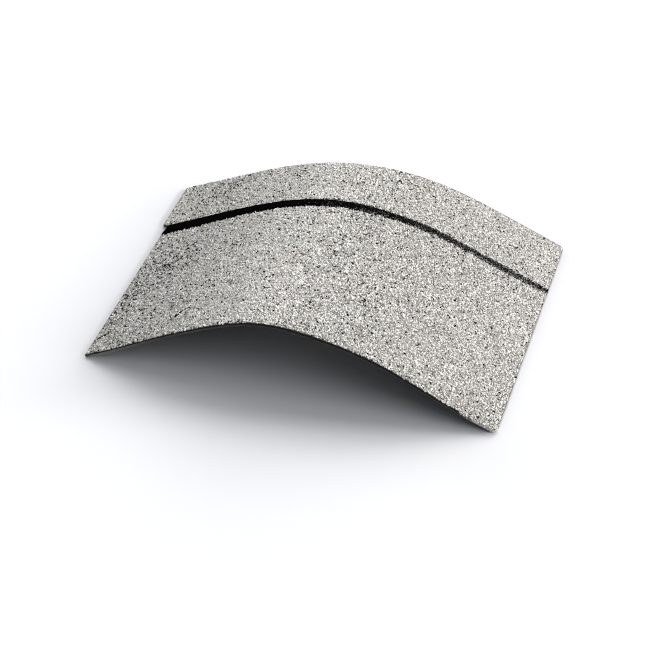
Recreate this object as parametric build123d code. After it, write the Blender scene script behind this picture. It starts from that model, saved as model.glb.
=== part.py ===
from build123d import *
import math
import os

# Hip-and-ridge cap shingle: one asphalt sheet bent over into an arch, standing
# on its two side edges, with a bead of sealant across the back of the part
# that stays exposed on the roof.
#
# Frame: millimetres, +Z up. X runs across the ridge, +Y from the exposed front
# edge to the covered back edge. The origin is the middle of the bounding box,
# on the floor.

# ---- driving dimensions -----------------------------------------------------
FLAT_WIDTH = 336.5        # girth of the sheet across the ridge (13 1/4 in)
DEPTH = 251.0             # length of the sheet along the ridge (9 7/8 in)
THICKNESS = 2.7           # asphalt sheet with its granules
FRONT_LEFT_R = 0.6        # the cut corners: one is sharp,
FRONT_RIGHT_R = 5.0       # the others are more or less blunt
REAR_RIGHT_R = 5.0
REAR_LEFT_R = 6.5

# Slope of the top surface, in degrees, at nine stations evenly spaced over the
# girth from the left side edge to the right one. Minus climbs, plus falls.
SLOPE_FRONT = (-23.4, -26.9, -24.1, -16.5, 5.6, 15.2, 25.4, 26.4, 20.0)
SLOPE_BACK = (-22.7, -23.3, -20.7, -11.4, 0.1, 11.2, 20.5, 23.2, 23.2)

HEAD_FROM_FRONT = 187.0   # where the back flap starts, from the front edge
HEAD_JOG = 3.5            # the flap's left side stands this far proud

STRIP_BACK_EDGE = 186.6   # back edge of the sealant bead, from the front edge
STRIP_WIDTH_LEFT = 15.6   # the bead was laid unevenly: wide on the left,
STRIP_WIDTH_CROWN = 9.9   # its nominal width over the crown,
STRIP_WIDTH_RIGHT = 6.4   # and thin on the right
STRIP_HEIGHT = 1.2
STRIP_END_GAP = 0.6       # from the ends of the bead to the side edges

STEPS = 160               # steps of the walk along the girth
STATIONS = 21             # points that each profile curve passes through


# ---- the bent profile -------------------------------------------------------
def natural_spline(values):
    """Natural cubic spline through evenly spaced values, as a function of 0..1."""
    n = len(values) - 1
    a = [0.0] * (n + 1)
    c = [0.0] * (n + 1)
    d = [0.0] * (n + 1)
    for i in range(1, n):
        rhs = 6.0 * (values[i + 1] - 2.0 * values[i] + values[i - 1])
        w = 4.0 - c[i - 1]
        c[i] = 1.0 / w
        d[i] = (rhs - d[i - 1]) / w
    for i in range(n - 1, 0, -1):
        a[i] = d[i] - c[i] * a[i + 1]

    def at(t):
        p = min(max(t, 0.0), 1.0) * n
        i = min(int(p), n - 1)
        u = p - i
        v = 1.0 - u
        return (v * values[i] + u * values[i + 1]
                + ((v ** 3 - v) * a[i] + (u ** 3 - u) * a[i + 1]) / 6.0)

    return at


def walk(slopes):
    """Top and bottom outline of a section: two lists of (x, z), left to right.

    The top curve is walked at the given slopes, the bottom one lies a sheet
    thickness under it, square to it. The section is turned so that its two
    bottom ends are level, and moved so that they lie at z = 0 about x = 0.
    """
    slope = natural_spline([math.radians(s) for s in slopes])
    step = FLAT_WIDTH / STEPS
    top = [(0.0, 0.0)]
    for i in range(STEPS):
        angle = slope((i + 0.5) / STEPS)
        x, z = top[-1]
        top.append((x + step * math.cos(angle), z - step * math.sin(angle)))
    low = []
    for i, (x, z) in enumerate(top):
        angle = slope(i / STEPS)
        low.append((x - THICKNESS * math.sin(angle), z - THICKNESS * math.cos(angle)))
    (x0, z0), (x1, z1) = low[0], low[-1]
    turn = -math.atan2(z1 - z0, x1 - x0)
    cs, sn = math.cos(turn), math.sin(turn)

    def place(points):
        return [((x - x0) * cs - (z - z0) * sn, (x - x0) * sn + (z - z0) * cs)
                for x, z in points]

    top, low = place(top), place(low)
    mid = (top[0][0] + top[-1][0]) / 2
    pick = [round(i * STEPS / (STATIONS - 1)) for i in range(STATIONS)]
    return ([(top[i][0] - mid, top[i][1]) for i in pick],
            [(low[i][0] - mid, low[i][1]) for i in pick])


def between(a, b, k):
    return [((1 - k) * p[0] + k * q[0], (1 - k) * p[1] + k * q[1])
            for p, q in zip(a, b)]


front_top, front_low = walk(SLOPE_FRONT)
back_top, back_low = walk(SLOPE_BACK)
head_k = HEAD_FROM_FRONT / DEPTH
head_top = between(front_top, back_top, head_k)
head_low = between(front_low, back_low, head_k)

# The flap's lip makes the left side wider, so the box's middle moves with it.
left_most = back_top[0][0] - HEAD_JOG
right_most = max(back_top[-1][0], front_top[-1][0])
SHIFT_X = -(left_most + right_most) / 2
Y_FRONT = -DEPTH / 2


def at(points, y):
    return [Vector(x + SHIFT_X, y, z) for x, z in points]


def section(top, low, y, lip=0.0):
    """Closed face of one cross-section at y, with a flat lip on the left."""
    t, b = at(top, y), at(low, y)
    edges = [Spline(*t), Line(t[-1], b[-1]), Spline(*b[::-1])]
    if lip:
        out_top = Vector(t[0].X - lip, y, THICKNESS)
        out_low = Vector(t[0].X - lip, y, 0.0)
        edges += [Line(b[0], out_low), Line(out_low, out_top), Line(out_top, t[0])]
    else:
        edges += [Line(b[0], t[0])]
    return Face(Wire(edges))


# ---- the sheet --------------------------------------------------------------
y_head = Y_FRONT + HEAD_FROM_FRONT
exposed = loft([section(front_top, front_low, Y_FRONT),
                section(head_top, head_low, y_head)], ruled=True)
flap = loft([section(head_top, head_low, y_head, HEAD_JOG),
             section(back_top, back_low, -Y_FRONT, HEAD_JOG)], ruled=True)
sheet = exposed + flap


def near(shape, x, y, reach=6.0):
    """Edges square to the sheet whose middles lie within reach of (x, y)."""
    found = []
    for edge in shape.edges():
        c = edge.center()
        if (math.hypot(c.X - x - SHIFT_X, c.Y - y) < reach
                and abs(edge.length - THICKNESS) < 0.3):
            found.append(edge)
    return found


corner_edges = 0
for x, y, r in ((front_top[0][0], Y_FRONT, FRONT_LEFT_R),
                (front_top[-1][0], Y_FRONT, FRONT_RIGHT_R),
                (back_top[-1][0], -Y_FRONT, REAR_RIGHT_R)):
    corner = near(sheet, x, y, 3.5)
    corner_edges += len(corner)
    sheet = fillet(corner, r)

# The rear left corner is rounder than the lip is wide, so it is cut from above.
x_lip, y_rear = back_top[0][0] - HEAD_JOG + SHIFT_X, -Y_FRONT
block = Pos(x_lip + REAR_LEFT_R / 2 - 0.5, y_rear - REAR_LEFT_R / 2 + 0.5, 0) * Box(
    REAR_LEFT_R + 1.0, REAR_LEFT_R + 1.0, 60.0)
bar = Pos(x_lip + REAR_LEFT_R, y_rear - REAR_LEFT_R, 0) * Cylinder(REAR_LEFT_R, 80.0)
sheet = sheet - (block - bar)

# ---- the sealant bead -------------------------------------------------------
# A layer over the exposed part, from inside the sheet to the bead's height, is
# cut to the bead's outline seen from above, and the sheet is taken away from
# it, so that the bead lies on the sheet face to face.


def raised(top, low, by):
    """The top outline moved along its normal by so many millimetres."""
    return [(p[0] + (p[0] - q[0]) * by / THICKNESS,
             p[1] + (p[1] - q[1]) * by / THICKNESS) for p, q in zip(top, low)]


def layer(top, low, y):
    up = at(raised(top, low, STRIP_HEIGHT), y)
    dn = at(raised(top, low, -1.0), y)
    return Face(Wire([Spline(*up), Line(up[-1], dn[-1]),
                      Spline(*dn[::-1]), Line(dn[0], up[0])]))


cover = loft([layer(front_top, front_low, Y_FRONT),
              layer(head_top, head_low, y_head)], ruled=True)

strip_k = (STRIP_BACK_EDGE - STRIP_WIDTH_CROWN / 2) / DEPTH
strip_top = between(front_top, back_top, strip_k)
x_left = strip_top[0][0] + SHIFT_X + STRIP_END_GAP
x_right = strip_top[-1][0] + SHIFT_X - STRIP_END_GAP
y_back = Y_FRONT + STRIP_BACK_EDGE
outline = Wire([
    Line((x_left, y_back), (x_right, y_back)),
    Line((x_right, y_back), (x_right, y_back - STRIP_WIDTH_RIGHT)),
    Spline((x_right, y_back - STRIP_WIDTH_RIGHT),
           (SHIFT_X, y_back - STRIP_WIDTH_CROWN),
           (x_left, y_back - STRIP_WIDTH_LEFT)),
    Line((x_left, y_back - STRIP_WIDTH_LEFT), (x_left, y_back)),
])
prism = extrude(Face(outline), 100.0, dir=(0, 0, 1))
strip = (cover & prism) - sheet
pieces = sorted(strip.solids(), key=lambda s: s.volume)
strip = pieces[-1]

# ---- write the two pieces ---------------------------------------------------
os.makedirs("parts", exist_ok=True)
sheet_solid = sheet.solids()[0]
export_step(sheet_solid, "parts/shingle_sheet.step")
export_step(strip, "parts/seal_strip.step")

box = sheet_solid.bounding_box()
print("sheet box", box.min, box.max, "volume", round(sheet_solid.volume))
print("flat volume", round(FLAT_WIDTH * DEPTH * THICKNESS))
print("front arch height", round(max(z for _, z in front_top), 1),
      "back arch height", round(max(z for _, z in back_top), 1))
print("solids", len(sheet.solids()), len(pieces), "corner edges", corner_edges)
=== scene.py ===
import math

import bmesh
import bpy
import numpy as np
from mathutils import Matrix, Vector


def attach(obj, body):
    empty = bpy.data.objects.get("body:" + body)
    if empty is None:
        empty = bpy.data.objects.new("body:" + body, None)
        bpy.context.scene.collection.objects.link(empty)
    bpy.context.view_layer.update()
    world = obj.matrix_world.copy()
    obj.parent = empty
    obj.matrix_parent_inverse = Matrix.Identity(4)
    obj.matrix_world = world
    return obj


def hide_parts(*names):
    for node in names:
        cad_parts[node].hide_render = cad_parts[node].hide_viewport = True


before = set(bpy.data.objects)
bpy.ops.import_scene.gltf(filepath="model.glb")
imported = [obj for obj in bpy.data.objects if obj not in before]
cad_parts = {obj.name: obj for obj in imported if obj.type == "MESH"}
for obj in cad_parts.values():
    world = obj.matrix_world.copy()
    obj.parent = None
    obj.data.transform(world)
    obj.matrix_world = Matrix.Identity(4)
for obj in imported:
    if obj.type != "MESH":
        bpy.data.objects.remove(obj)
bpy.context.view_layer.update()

# Hip-and-ridge cap shingle. Lengths below are millimetres and become metres
# only where a point is made. A place on the sheet is given by its girth g,
# from the left side edge over the arch to the right one, its distance y from
# the front edge, and its height h above the top face of the solid, which
# stands at the mean height of the granules.
MM = 0.001
FLAT_WIDTH = 336.5
DEPTH = 251.0
THICKNESS = 2.7
FRONT_LEFT_R = 0.6
FRONT_RIGHT_R = 5.0
REAR_RIGHT_R = 5.0
REAR_LEFT_R = 6.5
SLOPE_FRONT = (-23.4, -26.9, -24.1, -16.5, 5.6, 15.2, 25.4, 26.4, 20.0)
SLOPE_BACK = (-22.7, -23.3, -20.7, -11.4, 0.1, 11.2, 20.5, 23.2, 23.2)
HEAD_FROM_FRONT = 187.0
HEAD_JOG = 3.5
STRIP_BACK_EDGE = 186.6
# the black band is the bead and, in front of it, a painted shadow, widest on the left flank, which faces away from the
# light
BEAD_AND_SHADOW_WIDTHS = (15.6, 9.9, 6.4)  # left end, crown, right end
STEPS = 160

COAT = -0.55            # height of the asphalt that the granules sit in
GRAIN = 1.2             # spacing of the granules
# scuffs where granules came off and the black asphalt shows: places along each
SCUFFS = (((0.2, 17.8), (6.7, 23.0), (11.2, 25.0)),
          ((70.7, 25.0), (75.2, 32.0), (79.6, 34.0)),
          ((38.1, 134.0), (40.4, 138.0), (42.6, 143.0)),
          ((49.4, 129.0), (50.5, 131.0)))


# ---- the bent sheet ---------------------------------------------------------
def natural_spline(values):
    n = len(values) - 1
    a, c, d = ([0.0] * (n + 1) for _ in range(3))
    for i in range(1, n):
        w = 4.0 - c[i - 1]
        c[i] = 1.0 / w
        d[i] = (6.0 * (values[i + 1] - 2.0 * values[i] + values[i - 1]) - d[i - 1]) / w
    for i in range(n - 1, 0, -1):
        a[i] = d[i] - c[i] * a[i + 1]

    def at(t):
        p = min(max(t, 0.0), 1.0) * n
        i = min(int(p), n - 1)
        u, v = p - i, 1.0 - p + i
        return (v * values[i] + u * values[i + 1]
                + ((v ** 3 - v) * a[i] + (u ** 3 - u) * a[i + 1]) / 6.0)

    return at


def walk(slopes):
    """Top outline of a section and its normals, both (n, 2) in x and z."""
    slope = natural_spline([math.radians(s) for s in slopes])
    step = FLAT_WIDTH / STEPS
    top = np.zeros((STEPS + 1, 2))
    for i in range(STEPS):
        t = slope((i + 0.5) / STEPS)
        top[i + 1] = top[i] + (step * math.cos(t), -step * math.sin(t))
    tilt = np.array([slope(i / STEPS) for i in range(STEPS + 1)])
    normal = np.stack([np.sin(tilt), np.cos(tilt)], 1)
    low = top - THICKNESS * normal
    turn = -math.atan2(*(low[-1] - low[0])[::-1])
    spin = np.array([[math.cos(turn), -math.sin(turn)], [math.sin(turn), math.cos(turn)]])
    top, normal = (top - low[0]) @ spin.T, normal @ spin.T
    top[:, 0] -= (top[0, 0] + top[-1, 0]) / 2
    return top, normal


front_top, front_normal = walk(SLOPE_FRONT)
back_top, back_normal = walk(SLOPE_BACK)
SHIFT_X = -(back_top[0, 0] - HEAD_JOG + max(back_top[-1, 0], front_top[-1, 0])) / 2
GIRTH = np.linspace(0.0, FLAT_WIDTH, STEPS + 1)


def over(g, table):
    return np.stack([np.interp(g, GIRTH, table[:, i]) for i in (0, 1)], -1)


def place(g, y):
    """Point of the top face and its normal, each (..., 3), in millimetres."""
    g, y = np.broadcast_arrays(np.asarray(g, float), np.asarray(y, float))
    k = (y / DEPTH)[..., None]
    top = (1 - k) * over(g, front_top) + k * over(g, back_top)
    up = (1 - k) * over(g, front_normal) + k * over(g, back_normal)
    # left of g = 0 the back flap's lip lies level on the floor
    lip = np.clip(-g / HEAD_JOG, 0.0, 1.0)[..., None]
    top = top + np.minimum(g, 0.0)[..., None] * np.array([1.0, 0.0])
    top[..., 1:] += (THICKNESS - top[..., 1:]) * lip
    up = (1 - lip) * up + lip * np.array([0.0, 1.0])
    up = up / np.linalg.norm(up, axis=-1, keepdims=True)
    point = np.stack([top[..., 0] + SHIFT_X, y - DEPTH / 2, top[..., 1]], -1)
    normal = np.stack([up[..., 0], np.zeros_like(g), up[..., 1]], -1)
    return point, normal


def lifted(g, y, h):
    point, normal = place(g, y)
    return point + normal * np.asarray(h, float)[..., None]


def left_edge(y):
    """Girth of the left side edge: the back flap stands a little proud."""
    return np.where(np.asarray(y) >= HEAD_FROM_FRONT, -HEAD_JOG, 0.0)


def corner_radius(g, y):
    """Radius at the nearest corner. The granules stay off the sharp one."""
    left = g < FLAT_WIDTH / 2
    return np.where(y > DEPTH / 2, np.where(left, REAR_LEFT_R, REAR_RIGHT_R), np.where(left, 3.0, FRONT_RIGHT_R))


def margin(g, y):
    """How far inside the sheet's outline a place lies, with blunt corners."""
    side = np.minimum(g - left_edge(y), FLAT_WIDTH - g)
    side = np.where(g < 0, np.minimum(side, y - HEAD_FROM_FRONT), side)
    end = np.minimum(y, DEPTH - y)
    r = corner_radius(g, y)
    both = (side < r) & (end < r)
    blunt = r - np.hypot(r - side, r - end)
    return np.where(both, blunt, np.minimum(side, end))


def strip_edges(g):
    """Distances of the black band's front and back edges from the sheet's front edge: the bead, with a painted shadow
    in front of it.
    """
    t = np.clip(np.asarray(g, float) / FLAT_WIDTH, 0.0, 1.0)
    a, b, c = BEAD_AND_SHADOW_WIDTHS
    width = a * (1 - t) * (1 - 2 * t) + 4 * b * t * (1 - t) + c * t * (2 * t - 1)
    width = width * np.interp(t, [0.93, 1.0], [1.0, 0.86])  # it runs out at the right end
    sway = np.interp(t, [0.0, 0.25, 0.46, 0.56, 0.71, 0.82, 0.9, 1.0], [0.0, 0.1, 0.8, 0.1, -1.1, -1.1, 0.0, 1.0])
    back = STRIP_BACK_EDGE + sway
    front = STRIP_BACK_EDGE + 0.3 * t - width
    return front, back - np.interp(t, [0.95, 1.0], [0.0, 0.5])


def under_strip(g, y, inset):
    front, back = strip_edges(g)
    return (y > front + inset) & (y < back - inset)


class Noise:
    """Smooth seeded noise of about -1 to 1 over one or two lengths."""

    def __init__(self, seed, cell):
        self.cell = cell
        self.grid = np.random.default_rng(seed).uniform(-1, 1, (256, 256))

    def __call__(self, a, b=0.0):
        a, b = np.broadcast_arrays(np.asarray(a, float), np.asarray(b, float))
        a, b = a / self.cell + 31.7, b / self.cell + 11.3
        i, j = np.floor(a).astype(int), np.floor(b).astype(int)
        u, v = a - i, b - j
        u, v = u * u * (3 - 2 * u), v * v * (3 - 2 * v)
        at = lambda p, q: self.grid[p % 256, q % 256]
        return ((at(i, j) * (1 - u) + at(i + 1, j) * u) * (1 - v)
                + (at(i, j + 1) * (1 - u) + at(i + 1, j + 1) * u) * v)


def from_path(g, y, path):
    """Distance from a polyline on the sheet."""
    best = np.full(np.shape(g), 1e9)
    for (g0, y0), (g1, y1) in zip(path, path[1:]):
        dg, dy = g1 - g0, y1 - y0
        t = np.clip(((g - g0) * dg + (y - y0) * dy) / (dg * dg + dy * dy), 0, 1)
        best = np.minimum(best, np.hypot(g - g0 - t * dg, y - y0 - t * dy))
    return best


def joined(name, points, faces, materials, which=None, smooth=False):
    """A mesh object from arrays: points in millimetres, faces all of one size."""
    points = np.asarray(points, np.float32).reshape(-1, 3) * MM
    faces = np.asarray(faces, np.int32)
    count, sides = faces.shape
    mesh = bpy.data.meshes.new(name)
    mesh.vertices.add(len(points))
    mesh.vertices.foreach_set("co", points.ravel())
    mesh.loops.add(count * sides)
    mesh.loops.foreach_set("vertex_index", faces.ravel())
    mesh.polygons.add(count)
    mesh.polygons.foreach_set("loop_start", np.arange(count, dtype=np.int32) * sides)
    for material in materials:
        mesh.materials.append(material)
    if which is not None:
        mesh.polygons.foreach_set("material_index", np.asarray(which, np.int32))
    mesh.polygons.foreach_set("use_smooth", np.full(count, smooth))
    mesh.update(calc_edges=True)
    mesh.validate()
    thing = bpy.data.objects.new(name, mesh)
    bpy.context.scene.collection.objects.link(thing)
    return thing


# ---- materials --------------------------------------------------------------
class Shader:
    """A Principled material with a few short cuts for its nodes."""

    def __init__(self, name, roughness=0.7, shine=0.4):
        self.material = bpy.data.materials.new(name)
        self.material.use_nodes = True
        self.tree = self.material.node_tree
        self.face = self.tree.nodes["Principled BSDF"]
        self.face.inputs["Roughness"].default_value = roughness
        self.face.inputs["Specular IOR Level"].default_value = shine
        self.here = self.add("ShaderNodeTexCoord").outputs["Object"]

    def add(self, kind, **settings):
        node = self.tree.nodes.new(kind)
        for key, value in settings.items():
            setattr(node, key, value)
        return node

    def link(self, out, into):
        self.tree.links.new(out, into)

    def noise(self, scale, detail=2.0, rough=0.5):
        node = self.add("ShaderNodeTexNoise")
        node.inputs["Scale"].default_value = scale
        node.inputs["Detail"].default_value = detail
        node.inputs["Roughness"].default_value = rough
        self.link(self.here, node.inputs["Vector"])
        return node.outputs["Fac"]

    def ramp(self, value, stops):
        node = self.add("ShaderNodeValToRGB")
        ramp = node.color_ramp
        while len(ramp.elements) < len(stops):
            ramp.elements.new(0.5)
        for element, (where, colour) in zip(ramp.elements, stops):
            element.position = where
            element.color = (*colour, 1.0)
        self.link(value, node.inputs["Fac"])
        return node.outputs["Color"]

    def mixed(self, share, a, b, kind="MIX"):
        node = self.add("ShaderNodeMix", data_type="RGBA", blend_type=kind)
        for value, socket in ((share, node.inputs[0]), (a, node.inputs[6]), (b, node.inputs[7])):
            if isinstance(value, bpy.types.NodeSocket):
                self.link(value, socket)
            elif isinstance(value, tuple):
                socket.default_value = (*value, 1.0)
            else:
                socket.default_value = value
        return node.outputs[2]

    def span(self, value, low, high, a=0.0, b=1.0):
        node = self.add("ShaderNodeMapRange")
        for key, number in (("From Min", a), ("From Max", b), ("To Min", low), ("To Max", high)):
            node.inputs[key].default_value = number
        self.link(value, node.inputs["Value"])
        return node.outputs["Result"]

    def colour(self, socket):
        self.link(socket, self.face.inputs["Base Color"])

    def rough(self, socket):
        self.link(socket, self.face.inputs["Roughness"])

    def bump(self, height, strength, distance):
        node = self.add("ShaderNodeBump")
        node.inputs["Strength"].default_value = strength
        node.inputs["Distance"].default_value = distance
        self.link(height, node.inputs["Height"])
        before = self.face.inputs["Normal"]
        if before.is_linked:
            self.link(before.links[0].from_socket, node.inputs["Normal"])
        self.link(node.outputs["Normal"], before)


def granule_material(name, dark, light, shine=0.35):
    """Crushed, coated rock: each granule has a tone of its own between two."""
    s = Shader(name, roughness=0.75, shine=shine)
    tone = s.add("ShaderNodeAttribute", attribute_name="tone").outputs["Fac"]
    base = s.ramp(tone, [(0.0, dark), (1.0, light)])
    mottle = s.ramp(s.noise(2600.0, 3.0), [(0.3, (0.78, 0.78, 0.78)), (0.7, (1.0, 1.0, 1.0))])
    s.colour(s.mixed(1.0, base, mottle, "MULTIPLY"))
    s.rough(s.span(s.noise(1800.0, 2.0), 0.55, 0.9))
    s.bump(s.noise(5200.0, 3.0), 0.25, 0.00015)
    return s.material


def rimmed(s, colour, pale=1.0):
    """The colour, with the pale faces of granules cut through along the rim."""
    dark, light = ((pale * r, pale * 0.965 * r, pale * 0.9 * r) for r in (0.2, 0.4))
    cut = s.ramp(s.noise(850.0, 3.0), [(0.35, dark), (0.65, light)])
    return s.mixed(s.add("ShaderNodeAttribute", attribute_name="rim").outputs["Fac"], colour, cut)


def asphalt_material():
    """The coat between the granules: black, dull, with grit in it."""
    s = Shader("asphalt_coat", roughness=0.7, shine=0.35)
    grit = s.noise(2200.0, 4.0, 0.6)
    bare = s.add("ShaderNodeAttribute", attribute_name="bare").outputs["Fac"]
    s.colour(s.mixed(bare, rimmed(s, s.ramp(grit, [(0.35, (0.054, 0.049, 0.043)), (0.55, (0.147, 0.137, 0.123)), (0.75, (0.352, 0.335, 0.308))])), (0.01, 0.0097, 0.0094)))
    s.rough(s.span(s.noise(900.0), 0.5, 0.9))
    s.bump(grit, 0.6, 0.0003)
    return s.material


def edge_material():
    """Cut edge: black asphalt torn by the knife, sanded grey towards its foot."""
    s = Shader("cut_edge", roughness=0.8, shine=0.06)
    grit = s.noise(1900.0, 4.0, 0.65)
    black = s.ramp(grit, [(0.3, (0.004, 0.004, 0.004)), (0.6, (0.014, 0.0135, 0.013)), (0.78, (0.05, 0.048, 0.046))])
    grey = s.ramp(grit, [(0.3, (0.045, 0.043, 0.041)), (0.6, (0.11, 0.105, 0.1)), (0.78, (0.24, 0.23, 0.22))])
    depth = s.add("ShaderNodeAttribute", attribute_name="depth").outputs["Fac"]
    s.colour(rimmed(s, s.mixed(s.span(depth, 0.0, 1.0, 0.33, 0.66), black, grey), 1.6))
    s.rough(s.span(s.noise(1200.0), 0.6, 0.95))
    s.bump(grit, 0.8, 0.0004)
    return s.material


def back_material():
    """Underside: asphalt dusted with fine sand, so that it does not stick."""
    s = Shader("sanded_back", roughness=0.9, shine=0.25)
    sand = s.noise(1500.0, 5.0, 0.7)
    drift = s.noise(28.0, 3.0, 0.55)
    fine = s.ramp(sand, [(0.34, (0.02, 0.02, 0.02)), (0.5, (0.07, 0.069, 0.066)), (0.68, (0.2, 0.196, 0.185))])
    cloud = s.ramp(drift, [(0.35, (0.6, 0.6, 0.6)), (0.65, (1.0, 1.0, 1.0))])
    s.colour(s.mixed(1.0, fine, cloud, "MULTIPLY"))
    s.rough(s.span(s.noise(700.0), 0.75, 1.0))
    s.bump(sand, 0.7, 0.0004)
    return s.material


def bead_and_shadow_material():
    """Asphalt adhesive: black, matt, puckered where granules lie under it. It also colours the painted shadow in front
    of the bead.
    """
    s = Shader("sealant", roughness=0.9, shine=0.0)
    pucker = s.noise(650.0, 3.0, 0.55)
    s.colour(s.ramp(pucker, [(0.3, (0.0008, 0.0008, 0.0008)), (0.7, (0.0026, 0.0025, 0.0024))]))
    s.rough(s.span(s.noise(420.0, 3.0), 0.7, 0.95))
    s.bump(pucker, 0.35, 0.0003)
    s.bump(s.noise(3200.0, 2.0), 0.2, 0.0001)
    return s.material


# ---- the sheet's body -------------------------------------------------------
def spaced(a, b, step):
    return np.linspace(a, b, max(1, round((b - a) / step)) + 1)


def with_fine_ends(a, b, step, fine=0.72, reach=REAR_LEFT_R):
    return np.concatenate([spaced(a, a + reach, fine)[:-1], spaced(a + reach, b - reach, step),
                           spaced(b - reach, b, fine)[1:]])


def make_body():
    lip = spaced(-HEAD_JOG, 0.0, 0.7)[:-1]
    gs = np.concatenate([lip, with_fine_ends(0.0, FLAT_WIDTH, 2.1)])
    ys = with_fine_ends(0.0, DEPTH, 2.1)
    ys[np.argmin(abs(ys - HEAD_FROM_FRONT))] = HEAD_FROM_FRONT
    g, y = np.meshgrid(gs, ys, indexing="ij")
    ni, nj = g.shape
    used = ~((g[:-1, :-1] < -1e-6) & (y[:-1, :-1] < HEAD_FROM_FRONT - 1e-6))
    # blunt corners: each square corner of the grid is pulled into a quarter disc
    for side, sign in ((left_edge(y), 1.0), (np.full_like(g, FLAT_WIDTH), -1.0)):
        for edge, way in ((0.0, 1.0), (DEPTH, -1.0)):
            r = ((FRONT_LEFT_R if sign > 0 else FRONT_RIGHT_R) if way > 0
                 else (REAR_LEFT_R if sign > 0 else REAR_RIGHT_R))
            p, q = r - sign * (g - side), r - way * (y - edge)
            near = (p > 0) & (q > 0) & (p <= r + 1e-6) & (q <= r + 1e-6)
            most, far = np.maximum(p, q), np.maximum(np.hypot(p, q), 1e-9)
            g = np.where(near, side + sign * (r - p * most / far), g)
            y = np.where(near, edge + way * (r - q * most / far), y)
    # the knife drew the asphalt out a little at the sharp corner
    spur = np.clip(1.0 - np.hypot(g, y) / 3.2, 0.0, 1.0) ** 2 * (g > -0.5)
    g, y = g - 1.1 * spur, y - 0.5 * spur
    # along the sides and the back the knife cut through the granules, which
    # leaves a crisp rim as high as they are, and it runs on round the front right
    front_right = np.clip((g / FLAT_WIDTH - 0.92) / 0.05, 0, 1)
    rim_up = np.clip(1 - margin(g, y) / 0.5, 0, 1) * np.maximum(np.clip(y / 5.0, 0, 1), front_right)
    rim_up = np.where(under_strip(g, y, -0.2), 0.0, rim_up)
    # the pale faces are fewer towards the left: painted shade along the left side
    rim_share = rim_up * np.interp(g / FLAT_WIDTH, [0.3, 0.6], [0.45, 1.0])  # its pale faces
    bare = np.clip(1.6 - y / 1.3, 0, 1) * (1 - front_right)  # no grit along the front edge
    # the knife's path wanders a little along the front edge
    ragged = 0.22 * Noise(12, 3.2)(g, y) + 0.16 * Noise(13, 1.1)(g, y)
    y = y + ragged * (np.exp(-y / 0.8) * (1 - 0.8 * front_right) - 0.25 * np.exp(-(DEPTH - y) / 0.8))
    coat = COAT + 0.10 * Noise(3, 3.0)(g, y) + 0.06 * Noise(4, 11.0)(g, y)
    at_back = np.clip((y - DEPTH + 6.0) / 4.0, 0, 1) * np.interp(g / FLAT_WIDTH, [0.35, 0.65], [1.0, 0.0])
    rim_height = 0.14 - 0.34 * at_back + 0.06 * Noise(14, 1.6)(g, y)
    coat = coat + (rim_height - coat) * rim_up
    top = lifted(g, y, coat)
    under = 0.05 * Noise(5, 4.0)(g, y) + 0.06 * Noise(6, 26.0)(g, y)
    low = lifted(g, y, -THICKNESS + 0.06 + 0.5 * under)
    low[..., 2] = np.maximum(low[..., 2], 0.0)
    number = np.arange(ni * nj).reshape(ni, nj)
    quad = np.stack([number[:-1, :-1], number[1:, :-1], number[1:, 1:], number[:-1, 1:]], -1)[used]
    # the rim: edges that only one face has
    sides = np.concatenate([quad[:, [i, (i + 1) % 4]] for i in range(4)])
    key = np.sort(sides, 1) @ np.array([ni * nj, 1])
    _, first, times = np.unique(key, return_index=True, return_counts=True)
    rim = sides[first[times == 1]]
    points = [top.reshape(-1, 3), low.reshape(-1, 3)]
    total = ni * nj
    faces, which = [quad, quad[:, ::-1] + total], [np.zeros(len(quad)), np.full(len(quad), 2)]
    # three courses of wall through the thickness, torn a little by the knife
    rim_points = np.unique(rim)
    spot = {v: i for i, v in enumerate(rim_points)}
    flat_g, flat_y = g.ravel()[rim_points], y.ravel()[rim_points]
    inward = np.stack([flat_g - FLAT_WIDTH / 2, flat_y - DEPTH / 2], 1)
    rng = np.random.default_rng(11)
    courses = [rim_points]
    for share in (0.33, 0.66):
        a, b = points[0][rim_points], points[1][rim_points]
        mid = a + (b - a) * share
        push = rng.normal(0.0, 0.07, len(mid))
        out = inward / np.linalg.norm(inward, axis=1, keepdims=True)
        mid = mid + np.stack([out[:, 0] * push, out[:, 1] * push, 0.3 * push], 1)
        mid[:, 2] = np.maximum(mid[:, 2], 0.0)
        courses.append(sum(len(p) for p in points) + np.arange(len(rim_points)))
        points.append(mid)
    courses.append(rim_points + total)
    at = np.array([[spot[a], spot[b]] for a, b in rim])
    for up, down in zip(courses, courses[1:]):
        faces.append(np.stack([up[at[:, 1]], up[at[:, 0]], down[at[:, 0]], down[at[:, 1]]], 1))
        which.append(np.ones(len(at)))
    depth = [np.full(len(p), d) for p, d in zip(points, (0.0, 1.0, 0.33, 0.66))]
    step = (abs(flat_y - HEAD_FROM_FRONT) < 1.0) & (flat_g < 0.3)
    depth[0][rim_points[step]] = depth[2][step] = depth[3][step] = 1.0
    # the foot is sanded most on the left
    foot = np.interp(flat_g / FLAT_WIDTH, [0.06, 0.16, 0.2, 0.45, 0.8, 1.0], [1.55, 1.2, 1.0, 0.55, 0.6, 0.9])
    for course, where in ((1, rim_points), (2, slice(None)), (3, slice(None))):
        depth[course][where] *= np.where(step, 1.0, foot)
    depth = np.concatenate(depth)
    pale = 0.85 * front_right.ravel()[rim_points] * (flat_y < 8.0)
    sand = 0.45 * np.clip(1.2 - flat_g / 50.0, 0, 1) * (flat_y < 3.0)
    rim_share = [rim_share.ravel(), np.zeros(total), pale, pale + 0.5 * sand]
    rim_share[1][rim_points] = pale + sand
    rim_share = np.concatenate(rim_share)
    bare = np.append(bare.ravel(), np.zeros(len(rim_share) - total))
    points, faces = np.concatenate(points), np.concatenate(faces)
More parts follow.
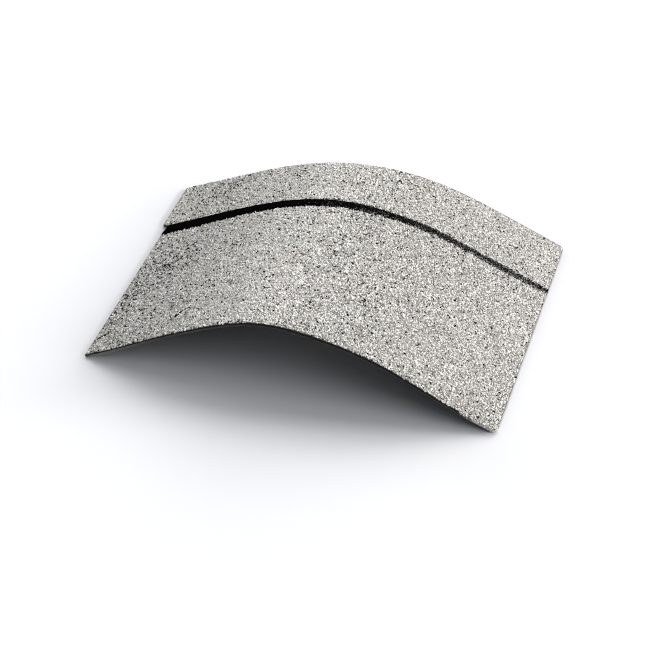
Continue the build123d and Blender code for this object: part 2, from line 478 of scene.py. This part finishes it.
    # drop the points of the cells that are left out
    kept, again = np.unique(faces, return_inverse=True)
    body = joined("sheet_body", points[kept], again.reshape(faces.shape),
                  [asphalt_material(), edge_material(), back_material()],
                  np.concatenate(which), smooth=True)
    body.data.set_sharp_from_angle(angle=math.radians(42))
    for name, values in (("depth", depth), ("rim", rim_share), ("bare", bare)):
        value = body.data.attributes.new(name, "FLOAT", "POINT")
        value.data.foreach_set("value", values[kept].astype(np.float32))
    return body


# ---- granules ---------------------------------------------------------------
def stones(rng, count, corners):
    """Angular little rocks: hulls of points on a ball, all with as many faces."""
    shapes, faces = [], []
    while len(shapes) < count:
        p = rng.normal(size=(corners, 3))
        p /= np.linalg.norm(p, axis=1, keepdims=True)
        gap = np.linalg.norm(p[:, None] - p[None], axis=-1) + 9 * np.eye(corners)
        if gap.min() < (0.62 if corners > 6 else 0.95):
            continue
        bm = bmesh.new()
        for v in p:
            bm.verts.new(v)
        bmesh.ops.convex_hull(bm, input=bm.verts)
        bm.verts.index_update()
        bm.verts.ensure_lookup_table()
        if len(bm.verts) != corners or len(bm.faces) != 2 * corners - 4:
            bm.free()
            continue
        tri = np.array([[v.index for v in f.verts] for f in bm.faces])
        v = np.array([v.co[:] for v in bm.verts])
        bm.free()
        a, b, c = v[tri[:, 0]], v[tri[:, 1]], v[tri[:, 2]]
        inside = (np.cross(b - a, c - a) * (a + b + c)).sum(1) < 0
        tri[inside] = tri[inside][:, ::-1]
        shapes.append(v)
        faces.append(tri)
    return np.array(shapes), np.array(faces)


def turned(rng, n, tilt):
    """Random turns: any way round, and leaning by about so many degrees."""
    yaw = rng.uniform(0, 2 * math.pi, n)
    lean, way = np.radians(np.abs(rng.normal(0, tilt, n))), rng.uniform(0, 2 * math.pi, n)
    axis = np.stack([np.cos(way), np.sin(way), np.zeros(n)], 1)
    k = np.zeros((n, 3, 3))
    k[:, 0, 2], k[:, 1, 2] = axis[:, 1], -axis[:, 0]
    k[:, 2, 0], k[:, 2, 1] = -axis[:, 1], axis[:, 0]
    s, c = np.sin(lean)[:, None, None], np.cos(lean)[:, None, None]
    tilt_by = np.eye(3) + s * k + (1 - c) * (k @ k)
    spin = np.zeros((n, 3, 3))
    spin[:, 0, 0] = spin[:, 1, 1] = np.cos(yaw)
    spin[:, 0, 1], spin[:, 1, 0] = -np.sin(yaw), np.sin(yaw)
    spin[:, 2, 2] = 1
    return tilt_by @ spin


def scatter(name, rng, g, y, h, size, flat, tone, shapes, shape_faces, material, tilt=22.0):
    """One joined mesh of granules, with a patch of its own on the map for each."""
    n = len(g)
    point, normal = place(g, y)
    point = point + normal * h[:, None]
    along = np.tile(np.array([0.0, 1.0, 0.0]), (n, 1))
    across = np.cross(along, normal)
    local = np.stack([across, along, normal], -1)
    pick = rng.integers(0, len(shapes), n)
    form = shapes[pick]
    stretch = np.stack([rng.uniform(0.82, 1.22, n), rng.uniform(0.82, 1.22, n), flat], 1)
    corner = form * (stretch * size[:, None] / 2)[:, None, :]
    corner = np.einsum("nij,nvj->nvi", local @ turned(rng, n, tilt), corner)
    points = (point[:, None, :] + corner).reshape(-1, 3)
    points[:, 2] = np.maximum(points[:, 2], 0.0)
    v = form.shape[1]
    faces = (shape_faces[pick] + (np.arange(n) * v)[:, None, None]).reshape(-1, 3)
    thing = joined(name, points, faces, [material])
    value = thing.data.attributes.new("tone", "FLOAT", "POINT")
    value.data.foreach_set("value", np.repeat(tone, v).astype(np.float32))
    # the map: the ball of directions flattened from its top, a cell for each stone
    cells = math.ceil(math.sqrt(n))
    reach = np.arccos(np.clip(form[..., 2], -1, 1)) / math.pi
    turn = np.arctan2(form[..., 1], form[..., 0])
    flat_map = np.stack([np.cos(turn), np.sin(turn)], -1) * reach[..., None] * 0.42 + 0.5
    cell = np.stack([np.arange(n) % cells, np.arange(n) // cells], 1)
    uv = ((cell[:, None, :] + flat_map) / cells).reshape(-1, 2)
    layer = thing.data.uv_layers.new(name="OFBake")
    layer.data.foreach_set("uv", uv[faces.ravel()].astype(np.float32).ravel())
    return thing


GRADES = (  # name, share, darkest and lightest tone, corners, growth, lift
    ("granules_white", 0.105, (0.775, 0.763, 0.733), (0.865, 0.853, 0.821), 8, 1.08, 0.12),
    ("granules_pale", 0.255, (0.66, 0.638, 0.595), (0.75, 0.726, 0.68), 6, 1.05, 0.0),
    ("granules_light", 0.265, (0.57, 0.551, 0.515), (0.66, 0.638, 0.595), 6, 1.05, 0.0),
    ("granules_grey", 0.205, (0.47, 0.455, 0.425), (0.57, 0.551, 0.515), 6, 1.05, 0.0),
    ("granules_slate", 0.122, (0.33, 0.318, 0.295), (0.46, 0.446, 0.417), 6, 1.05, 0.0),
    ("granules_black", 0.048, (0.006, 0.005, 0.004), (0.024, 0.0205, 0.017), 8, 1.05, 0.13),
)
BLACK = len(GRADES) - 1
# where more of them are black: girth, distance from the front, reach, share
DARK_PATCHES = ((7.0, 76.0, 9.0, 0.16), (38.0, 234.5, 10.0, 0.18), (16.0, 243.0, 9.0, 0.08), (31.0, 114.0, 16.0, 0.22),
                (23.6, 87.0, 10.0, 0.12), (5.5, 51.0, 7.0, 0.16))
# painted shading across the arch: the blend turns a grade lighter left of the crown and a grade darker from the crown
# to the right. Place from -1 to 1, share a grade lighter
PAINTED_SHADING = ((-1.0, -0.66, -0.46, -0.2, 0.04, 0.46, 0.75, 1.0), (0.1, 0.05, 1.0, 0.9, -0.3, -0.45, -0.1, 0.0))


def make_granules():
    rng = np.random.default_rng(2024)
    rows = np.arange(-GRAIN, DEPTH + GRAIN, GRAIN * math.sqrt(3) / 2)
    cols = np.arange(-HEAD_JOG - GRAIN, FLAT_WIDTH + GRAIN, GRAIN)
    g, y = np.meshgrid(cols, rows)
    g = g + (np.arange(len(rows)) % 2 * GRAIN / 2)[:, None]
    g = (g + rng.uniform(-0.36, 0.36, g.shape) * GRAIN).ravel()
    y = (y + rng.uniform(-0.36, 0.36, y.shape) * GRAIN).ravel()
    size = GRAIN * np.clip(rng.lognormal(0.16, 0.18, len(g)), 0.8, 1.7)
    flat = rng.uniform(0.75, 1.1, len(g))
    height = COAT + size * 0.5 * flat * rng.uniform(0.2, 0.5, len(g)) + rng.normal(0, 0.08, len(g))
    # the granules overhang the front edge on the right
    spill = np.interp(g / FLAT_WIDTH, [0.0, 0.12, 0.25, 0.45, 0.6, 0.76, 0.92], [0.3, 0.36, 0.45, 0.56, 0.52, 0.42, 0.0])
    spill = np.where((y < 3.0) & (g > 6.0), spill + rng.uniform(-0.3, 0.2, len(g)), 0.38 + rng.uniform(-0.06, 0.06, len(g)))
    keep = (margin(g, y) > spill * size) & ~under_strip(g, y, rng.uniform(0.0, 1.1, len(g)))
    keep &= rng.random(len(g)) > 0.008  # a few have come off
    g, y, size, flat, height = (a[keep] for a in (g, y, size, flat, height))
    grade = rng.choice(len(GRADES), len(g), p=[x[1] for x in GRADES])
    more = sum(share * np.exp(-((g - a) ** 2 + (y - b) ** 2) / reach ** 2) for a, b, reach, share in DARK_PATCHES)
    # more black ones towards the left side edge: painted shade on the left flank
    more = more + 0.025 * np.clip(1 - g / 110.0, 0, 1)
    grade[rng.random(len(g)) < more] = BLACK
    # on the right there are fewer of the black and of the white ones
    fewer = rng.random(len(g)) < 0.35 * np.clip((g / FLAT_WIDTH - 0.55) / 0.2, 0, 1)
    grade[fewer & (grade == BLACK)] = BLACK - 1
    grade[fewer & (grade == 0)] = 1
    # the painted shading across the arch, and besides it a blend darker towards the front edge and lighter towards the
    # back
    drift = np.interp(2 * g / FLAT_WIDTH - 1, *PAINTED_SHADING) + np.interp(y, [0, 30, 60, 180, 195, 245], [-0.4, -0.2, 0, 0, 0.3, 0.5])
    # lighter still behind the bead on the left
    drift = drift + 0.5 * np.clip((y - 180) / 15, 0, 1) * np.clip(1.4 - g / 80, 0, 1)
    moves = (rng.random(len(g)) < np.abs(drift)) & (grade > 0) & (grade < BLACK)
    grade[moves & (drift > 0) & (grade > 1)] -= 1
    grade[moves & (drift < 0) & (grade < BLACK - 1)] += 1
    # black bits along the scuffs
    for path in SCUFFS:
        grade[from_path(g, y, path) < 0.6] = BLACK
        path = np.array(path)
        far = np.append(0.0, np.cumsum(np.hypot(*np.diff(path, axis=0).T)))
        t = np.arange(0.0, far[-1], 0.5)
        t = t[rng.random(len(t)) < np.interp(t / far[-1], [0.0, 1.0], [1.0, 0.55])]
        more_g = np.interp(t, far, path[:, 0]) + rng.normal(0, 0.15, len(t))
        more_y = np.interp(t, far, path[:, 1]) + rng.normal(0, 0.15, len(t))
        g, y = np.append(g, more_g), np.append(y, more_y)
        size = np.append(size, rng.uniform(0.9, 1.35, len(t)))
        flat = np.append(flat, rng.uniform(0.6, 0.8, len(t)))
        height = np.append(height, rng.uniform(-0.14, -0.02, len(t)))
        grade = np.append(grade, np.full(len(t), BLACK))
    inside = margin(g, y) > 0.1
    g, y, size, flat, height, grade = (a[inside] for a in (g, y, size, flat, height, grade))
    # some were pressed over the front right corner and cling to its cut edge
    cling = np.random.default_rng(31)
    n = 110
    more_g = FLAT_WIDTH * (1.0 - 0.085 * cling.random(n) ** 1.3) - 0.4
    bend = np.clip(more_g - FLAT_WIDTH + FRONT_RIGHT_R, 0, FRONT_RIGHT_R)
    more_y = FRONT_RIGHT_R - np.sqrt(FRONT_RIGHT_R ** 2 - bend ** 2) + cling.uniform(0.05, 0.4, n)
    g, y = np.append(g, more_g), np.append(y, more_y)
    size = np.append(size, GRAIN * cling.uniform(0.85, 1.25, n))
    flat = np.append(flat, cling.uniform(0.8, 1.1, n))
    height = np.append(height, cling.uniform(-2.0, -0.5, n))
    grade = np.append(grade, cling.choice([0, 1, 2, 3], n))
    tone = rng.random(len(g))
    made = []
    for i, (name, _, dark, light, corners, growth, lift) in enumerate(GRADES):
        shapes, faces = stones(np.random.default_rng(7), 64, corners)
        m = grade == i
        made.append(scatter(name, rng, g[m], y[m], height[m] + lift, size[m] * growth, flat[m], tone[m],
                            shapes, faces, granule_material(name, dark, light, 0.1 if i == BLACK else 0.35)))
    # finer grit in the gaps between them
    n = 6000
    g, y = rng.uniform(-HEAD_JOG, FLAT_WIDTH, n), rng.uniform(0, DEPTH, n)
    size = rng.uniform(0.45, 0.85, n)
    keep = (margin(g, y) > 0.5 * size) & ~under_strip(g, y, 0.3)
    g, y, size = g[keep], y[keep], size[keep]
    h = COAT + 0.1 + rng.uniform(0.0, 0.35, len(g))
    shapes, faces = stones(np.random.default_rng(8), 24, 6)
    made.append(scatter("granule_fines", rng, g, y, h, size, rng.uniform(0.7, 1.0, len(g)), rng.random(len(g)),
                        shapes, faces, granule_material("granule_fines", (0.30, 0.292, 0.275), (0.82, 0.797, 0.75)), 35.0))
    return made


# ---- the sealant bead and its painted shadow --------------------------------
BEAD_RISE = (1.1, 1.0, 0.65, 0.35)  # left end, near the crown, right of it, right end


def make_strip():
    gs = spaced(-0.25, FLAT_WIDTH + 0.15, 0.55)
    share = np.array([0.0, 0.015, 0.05, 0.1, 0.17, 0.25, 0.34, 0.43, 0.52, 0.61, 0.7, 0.78, 0.85, 0.91, 0.955, 0.985, 1.0])
    t = np.clip(gs / FLAT_WIDTH, 0, 1)
    # the front edge takes in the painted shadow, so the band is wider on the left
    front, back = strip_edges(gs)
    loose = 1.0 + 1.2 * np.clip((t - 0.6) / 0.3, 0, 1)  # the thin end is more ragged
    back = back + loose * (0.28 * Noise(21, 7.0)(gs) + 0.42 * Noise(22, 1.3)(gs))
    front = front + loose * (0.40 * Noise(23, 5.0)(gs) + 0.55 * Noise(24, 1.3)(gs))
    rise = np.interp(t, [0.0, 0.45, 0.7, 1.0], BEAD_RISE)
    rise = rise * np.clip(0.55 + np.minimum(gs + 0.25, FLAT_WIDTH + 0.15 - gs) / 2.5, 0.55, 1.0)
    g = np.repeat(gs[:, None], len(share), 1)
    y = front[:, None] + (back - front)[:, None] * share[None]
    g = g + 2.2 * share[None] * np.exp(-(g + 0.25) / 3.0)  # its left end is slanted
    dome = np.sqrt(np.clip(1 - np.abs(2 * share - 1) ** 6, 0, 1))[None]
    lumps = (0.10 * Noise(25, 1.7)(g, y) + 0.09 * Noise(26, 9.0)(g, y)) * (0.7 + 0.9 * t[:, None])
    h = COAT + (rise[:, None] - COAT + lumps) * dome
    top = lifted(g, y, h)
    low = lifted(g, y, np.full_like(h, COAT - 0.12))
    for p in (top, low):
        p[..., 2] = np.maximum(p[..., 2], 0.05)
    ni, nj = g.shape
    number = np.arange(ni * nj).reshape(ni, nj)
    quad = np.stack([number[:-1, :-1], number[1:, :-1], number[1:, 1:], number[:-1, 1:]], -1).reshape(-1, 4)
    total = ni * nj
    sides = np.concatenate([quad[:, [i, (i + 1) % 4]] for i in range(4)])
    _, first, times = np.unique(np.sort(sides, 1) @ np.array([total, 1]), return_index=True, return_counts=True)
    rim = sides[first[times == 1]]
    wall = np.stack([rim[:, 1], rim[:, 0], rim[:, 0] + total, rim[:, 1] + total], 1)
    strip = joined("seal_bead_and_shadow", np.concatenate([top.reshape(-1, 3), low.reshape(-1, 3)]),
                   np.concatenate([quad, quad[:, ::-1] + total, wall]), [bead_and_shadow_material()], smooth=True)
    strip.data.set_sharp_from_angle(angle=math.radians(60))
    return strip


def make_coated():
    """Granules that the thin end of the bead only just covers, dark with it."""
    rng = np.random.default_rng(77)
    n = 3000
    g = FLAT_WIDTH * (0.36 + 0.64 * rng.random(n) ** 0.75)
    front, back = strip_edges(g)
    y = front - 0.6 + rng.random(n) * (back - front + 1.2)
    thin = np.clip((g / FLAT_WIDTH - 0.36) / 0.44, 0, 1)
    keep = (rng.random(n) < 0.2 + 0.8 * thin) & (margin(g, y) > 0.5)
    g, y, thin = g[keep], y[keep], thin[keep]
    size = rng.uniform(0.9, 1.6, len(g))
    rise = np.interp(g / FLAT_WIDTH, [0.0, 0.45, 0.7, 1.0], BEAD_RISE)
    h = rise - 0.15 * size + rng.normal(0, 0.08, len(g))
    front, back = strip_edges(g)
    inner = np.clip(2 * np.minimum(y - front, back - y) / (back - front), 0, 1)
    tone = np.clip(rng.random(len(g)) ** 3.6 * (0.2 + 0.8 * thin) * (1.4 - 0.9 * inner), 0, 1)
    tone = np.clip(tone * np.interp(g / FLAT_WIDTH, [0.88, 0.96, 1.0], [1.0, 1.7, 2.6]), 0, 1)
    shapes, faces = stones(np.random.default_rng(9), 24, 8)
    return scatter("coated_granules", rng, g, y, h, size, rng.uniform(0.6, 0.9, len(g)), tone, shapes, faces,
                   granule_material("coated_granules", (0.003, 0.003, 0.003), (0.38, 0.368, 0.345), 0.03))


body = make_body()
granules = make_granules()
strip = make_strip()
coated = make_coated()

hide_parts("shingle_sheet")
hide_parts("seal_strip")
for piece in (body, *granules):
    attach(piece, "root")
for piece in (strip, coated):
    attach(piece, "root")

# ---- floor, light and camera ------------------------------------------------
floor_mesh = bpy.data.meshes.new("floor")
floor_mesh.from_pydata([(-30, -30, 0), (30, -30, 0), (30, 30, 0), (-30, 30, 0)], [], [(0, 1, 2, 3)])
floor = bpy.data.objects.new("floor", floor_mesh)
bpy.context.scene.collection.objects.link(floor)
paint = bpy.data.materials.new("floor")
paint.use_nodes = True
paint.node_tree.nodes["Principled BSDF"].inputs["Base Color"].default_value = (0.522, 0.518, 0.526, 1)
paint.node_tree.nodes["Principled BSDF"].inputs["Roughness"].default_value = 0.95
paint.node_tree.nodes["Principled BSDF"].inputs["Specular IOR Level"].default_value = 0.1
floor_mesh.materials.append(paint)

world = bpy.data.worlds.new("studio")
bpy.context.scene.world = world
world.use_nodes = True
world.node_tree.nodes["Background"].inputs["Color"].default_value = (0.94, 0.98, 1.06, 1)
world.node_tree.nodes["Background"].inputs["Strength"].default_value = 0.03


def softbox(turn, height, strength):
    """A soft far light: turn from the back towards the right, and height, in degrees."""
    lamp = bpy.data.lights.new("softbox", "SUN")
    lamp.energy = strength
    lamp.angle = math.radians(19.0 if 40.0 < turn < 100.0 else 28.0)
    lamp.color = (0.96, 1.0, 1.035) if turn > 180.0 else (0.955, 0.995, 1.05) if turn > 100.0 else (1.0, 1.0, 1.0)
    a, e = math.radians(turn), math.radians(height)
    towards = Vector((math.sin(a) * math.cos(e), math.cos(a) * math.cos(e), math.sin(e)))
    thing = bpy.data.objects.new("softbox", lamp)
    thing.rotation_mode = "QUATERNION"
    thing.rotation_quaternion = towards.to_track_quat("Z", "Y")
    bpy.context.scene.collection.objects.link(thing)


# a long bank of light on the right, one behind, one on the left, and a little
# from the front
for lamp in ((45.0, 22.0, 0.50), (67.5, 22.0, 3.12), (90.0, 22.0, 1.60), (112.5, 22.0, 0.62), (0.0, 22.0, 1.29),
             (0.0, 35.0, 1.37), (0.0, 48.0, 1.64), (283.0, 35.0, 0.25), (292.5, 22.0, 1.53), (120.0, 48.0, 0.13),
             (135.0, 62.0, 0.12), (180.0, 22.0, 0.14), (180.0, 48.0, 0.23), (180.0, 70.0, 0.23)):
    softbox(*lamp)

camera = bpy.data.cameras.new("camera")
camera.sensor_width = 36.0
camera.lens = 36.0 * 1920.67 / 646.0
camera.clip_start, camera.clip_end = 0.05, 50.0
eye = bpy.data.objects.new("camera", camera)
right = Vector((0.9611368, 0.2756262, 0.0156915))
up = Vector((-0.1719929, 0.5533590, 0.8149922))
back = right.cross(up)
spot = Vector((319.173 + SHIFT_X, -1189.958, 851.814 + front_top[0, 1])) * MM
turn = Matrix((right, up, back)).transposed().to_4x4()
eye.matrix_world = Matrix.Translation(spot) @ turn
bpy.context.scene.collection.objects.link(eye)
bpy.context.scene.camera = eye

view = bpy.context.scene.view_settings
view.view_transform = "Standard"
view.look = "None"
bpy.context.scene.cycles.filter_width = 1.1
bpy.context.scene.cycles.denoising_prefilter = "NONE"  # keeps the granules apart

bpy.context.view_layer.update()
print("TRIANGLES", {o.name: sum(len(p.vertices) - 2 for p in o.data.polygons) for o in (body, *granules, strip, coated)})
